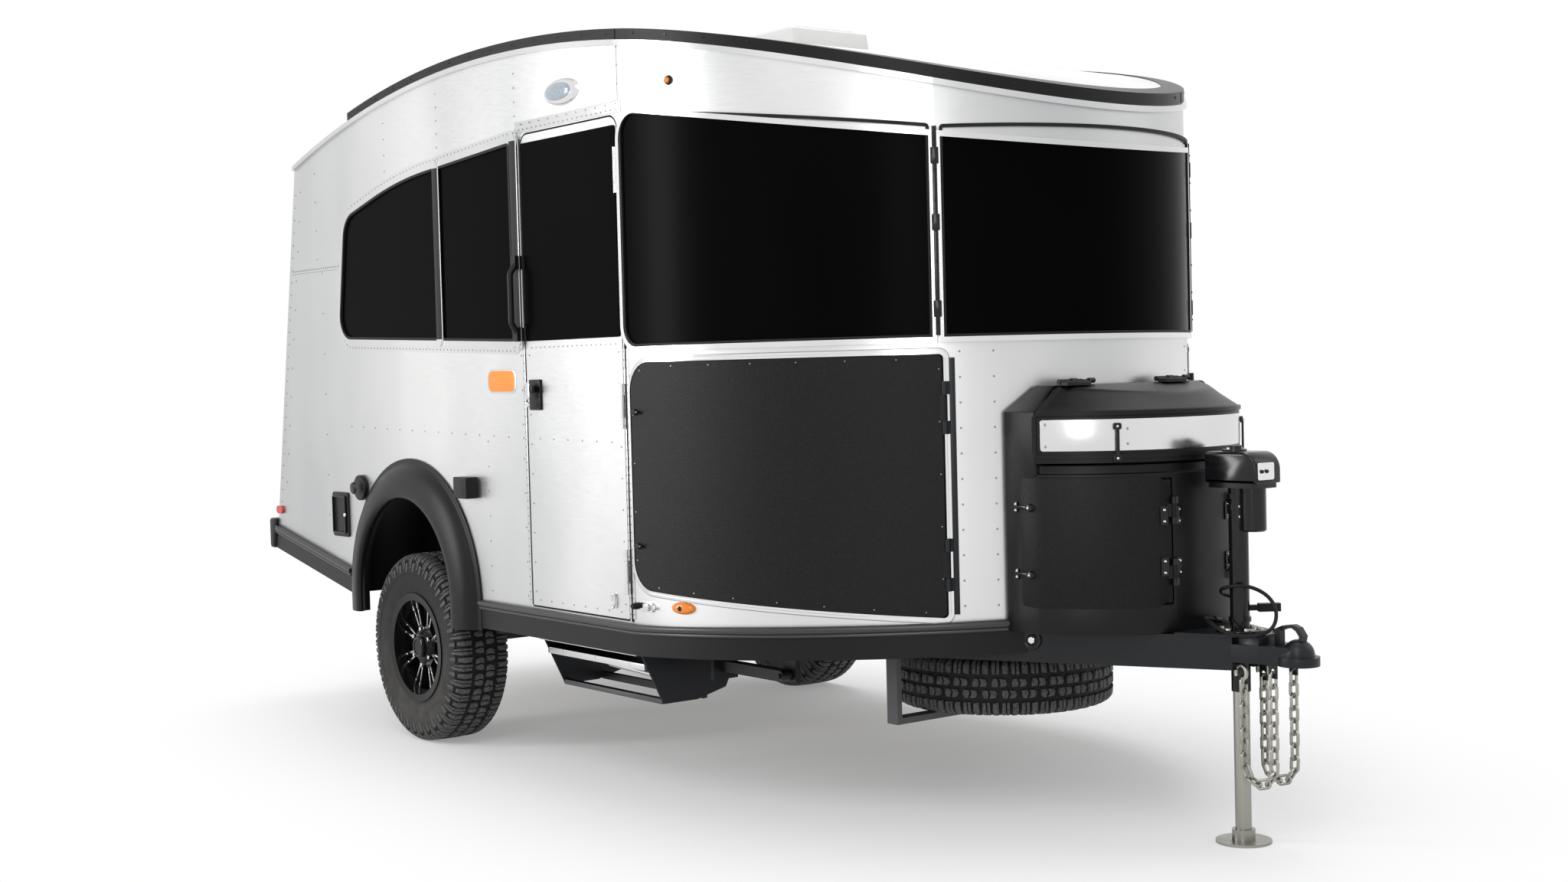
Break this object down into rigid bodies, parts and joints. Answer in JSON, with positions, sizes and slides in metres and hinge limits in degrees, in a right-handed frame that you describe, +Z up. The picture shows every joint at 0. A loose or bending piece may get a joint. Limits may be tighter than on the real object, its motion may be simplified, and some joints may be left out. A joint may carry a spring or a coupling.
{
  "type": "travel trailer",
  "caption": "Travel trailer with a riveted aluminium body, rounded nose, dark windows, side door, hatches, moulded front box, tongue jack, coupler and safety chains.",
  "frame": {"origin": "on the ground under the middle of the trailer's length and width", "axes": "+X forward to the coupler, +Y to the trailer's left, +Z up"},
  "size_m": [4.95, 2.14, 2.775],
  "materials": {
    "amber_lens": "gloss",
    "black_alloy": "satin",
    "black_moulding": "matte",
    "black_paint": "satin",
    "bright_aluminium": "satin",
    "dark_glass": "gloss",
    "dark_rubber": "matte",
    "deck_wood": "matte",
    "gloss_black": "gloss",
    "grey_steel": "satin",
    "red_lens": "gloss",
    "satin_aluminium": "satin",
    "tyre_rubber": "matte",
    "white_plastic": "gloss",
    "zinc_steel": "satin"
  },
  "bodies": {
    "trailer": {"amber_lamps": "amber_lens", "axle": "black_paint", "belly_skirt": "black_moulding", "breakaway_switch": "black_moulding", "cable_glands": "gloss_black", "chain_eyes": "black_paint", "coupler": "black_paint", "coupler_lever": "black_paint", "cross_members": "black_paint", "drip_rail": "bright_aluminium", "entry_step": "black_paint", "fender_flares": "black_moulding", "floor_deck": "deck_wood", "front_box_body": "black_moulding", "grab_handle": "black_moulding", "hinge_pins": "black_paint", "jack_leg": "zinc_steel", "main_rails": "black_paint", "porch_light": "white_plastic", "rear_bumper": "black_moulding", "red_lamps": "red_lens", "roof_air_conditioner": "white_plastic", "roof_edge_trim": "black_moulding", "roof_panel": "satin_aluminium", "roof_vent": "white_plastic", "rub_rail": "black_moulding", "safety_chains": "zinc_steel", "service_fittings": "black_moulding", "spare_carrier": "grey_steel", "spare_rim": "black_alloy", "spare_tyre": "tyre_rubber", "tongue_cable": "dark_rubber", "tongue_jack": "gloss_black", "tongue_plate": "black_paint", "tongue_rails": "black_paint", "wall_front": "satin_aluminium", "wall_left": "satin_aluminium", "wall_rear": "satin_aluminium", "wall_right": "satin_aluminium", "wheel_wells": "black_moulding", "window_frames": "bright_aluminium", "window_glass": "dark_glass"},
    "wheel_right": {"tyre_right": "tyre_rubber", "rim_right": "black_alloy"},
    "wheel_left": {"tyre_left": "tyre_rubber", "rim_left": "black_alloy"},
    "entry_door": {"entry_door": "satin_aluminium", "entry_door_glass": "dark_glass", "door_handle": "black_moulding"},
    "front_hatch_right": {"front_hatch_right": "black_paint"},
    "front_hatch_left": {"front_hatch_left": "black_paint"},
    "box_lid": {"box_lid": "black_moulding"},
    "box_door_right": {"box_door_right": "black_moulding"},
    "box_door_left": {"box_door_left": "black_moulding"},
    "rear_hatch": {"rear_hatch": "satin_aluminium", "rear_hatch_glass": "dark_glass"},
    "steady_front_right": {"steady_front_right": "black_paint"},
    "steady_front_left": {"steady_front_left": "black_paint"},
    "steady_rear_right": {"steady_rear_right": "black_paint"},
    "steady_rear_left": {"steady_rear_left": "black_paint"}
  },
  "joints": [
    {"name": "wheel_right_turn", "type": "hinge", "parent": "trailer", "child": "wheel_right", "pos_m": [-1.065, -0.9095, 0.37], "axis": [0, 1, 0], "continuous": true},
    {"name": "wheel_left_turn", "type": "hinge", "parent": "trailer", "child": "wheel_left", "pos_m": [-1.065, 0.9095, 0.37], "axis": [0, 1, 0], "continuous": true},
    {"name": "entry_door_swing", "type": "hinge", "parent": "trailer", "child": "entry_door", "pos_m": [0.481, -1.022, 1.444], "axis": [0, 0, 1], "range_deg": [0, 150]},
    {"name": "front_hatch_right_swing", "type": "hinge", "parent": "trailer", "child": "front_hatch_right", "pos_m": [1.55279, -0.55809, 1.06], "axis": [0, 0, 1], "range_deg": [0, 110]},
    {"name": "front_hatch_left_swing", "type": "hinge", "parent": "trailer", "child": "front_hatch_left", "pos_m": [1.55279, 0.55809, 1.06], "axis": [0, 0, -1], "range_deg": [0, 110]},
    {"name": "box_lid_lift", "type": "hinge", "parent": "trailer", "child": "box_lid", "pos_m": [1.794, 0, 1.372], "axis": [0, -1, 0], "range_deg": [0, 75]},
    {"name": "box_door_right_swing", "type": "hinge", "parent": "trailer", "child": "box_door_right", "pos_m": [2.07482, -0.13133, 0.893], "axis": [0, 0, 1], "range_deg": [0, 110]},
    {"name": "box_door_left_swing", "type": "hinge", "parent": "trailer", "child": "box_door_left", "pos_m": [2.07482, 0.13133, 0.893], "axis": [0, 0, -1], "range_deg": [0, 110]},
    {"name": "rear_hatch_lift", "type": "hinge", "parent": "trailer", "child": "rear_hatch", "pos_m": [-2.13629, 0, 2.02528], "axis": [0, 1, 0], "range_deg": [0, 85]},
    {"name": "steady_front_right_drop", "type": "hinge", "parent": "trailer", "child": "steady_front_right", "pos_m": [0.935, -0.723, 0.44], "axis": [0, -1, 0], "range_deg": [0, 80]},
    {"name": "steady_front_left_drop", "type": "hinge", "parent": "trailer", "child": "steady_front_left", "pos_m": [0.935, 0.723, 0.44], "axis": [0, -1, 0], "range_deg": [0, 80]},
    {"name": "steady_rear_right_drop", "type": "hinge", "parent": "trailer", "child": "steady_rear_right", "pos_m": [-2.085, -0.723, 0.56], "axis": [0, 1, 0], "range_deg": [0, 80]},
    {"name": "steady_rear_left_drop", "type": "hinge", "parent": "trailer", "child": "steady_rear_left", "pos_m": [-2.085, 0.723, 0.56], "axis": [0, 1, 0], "range_deg": [0, 80]}
  ]
}
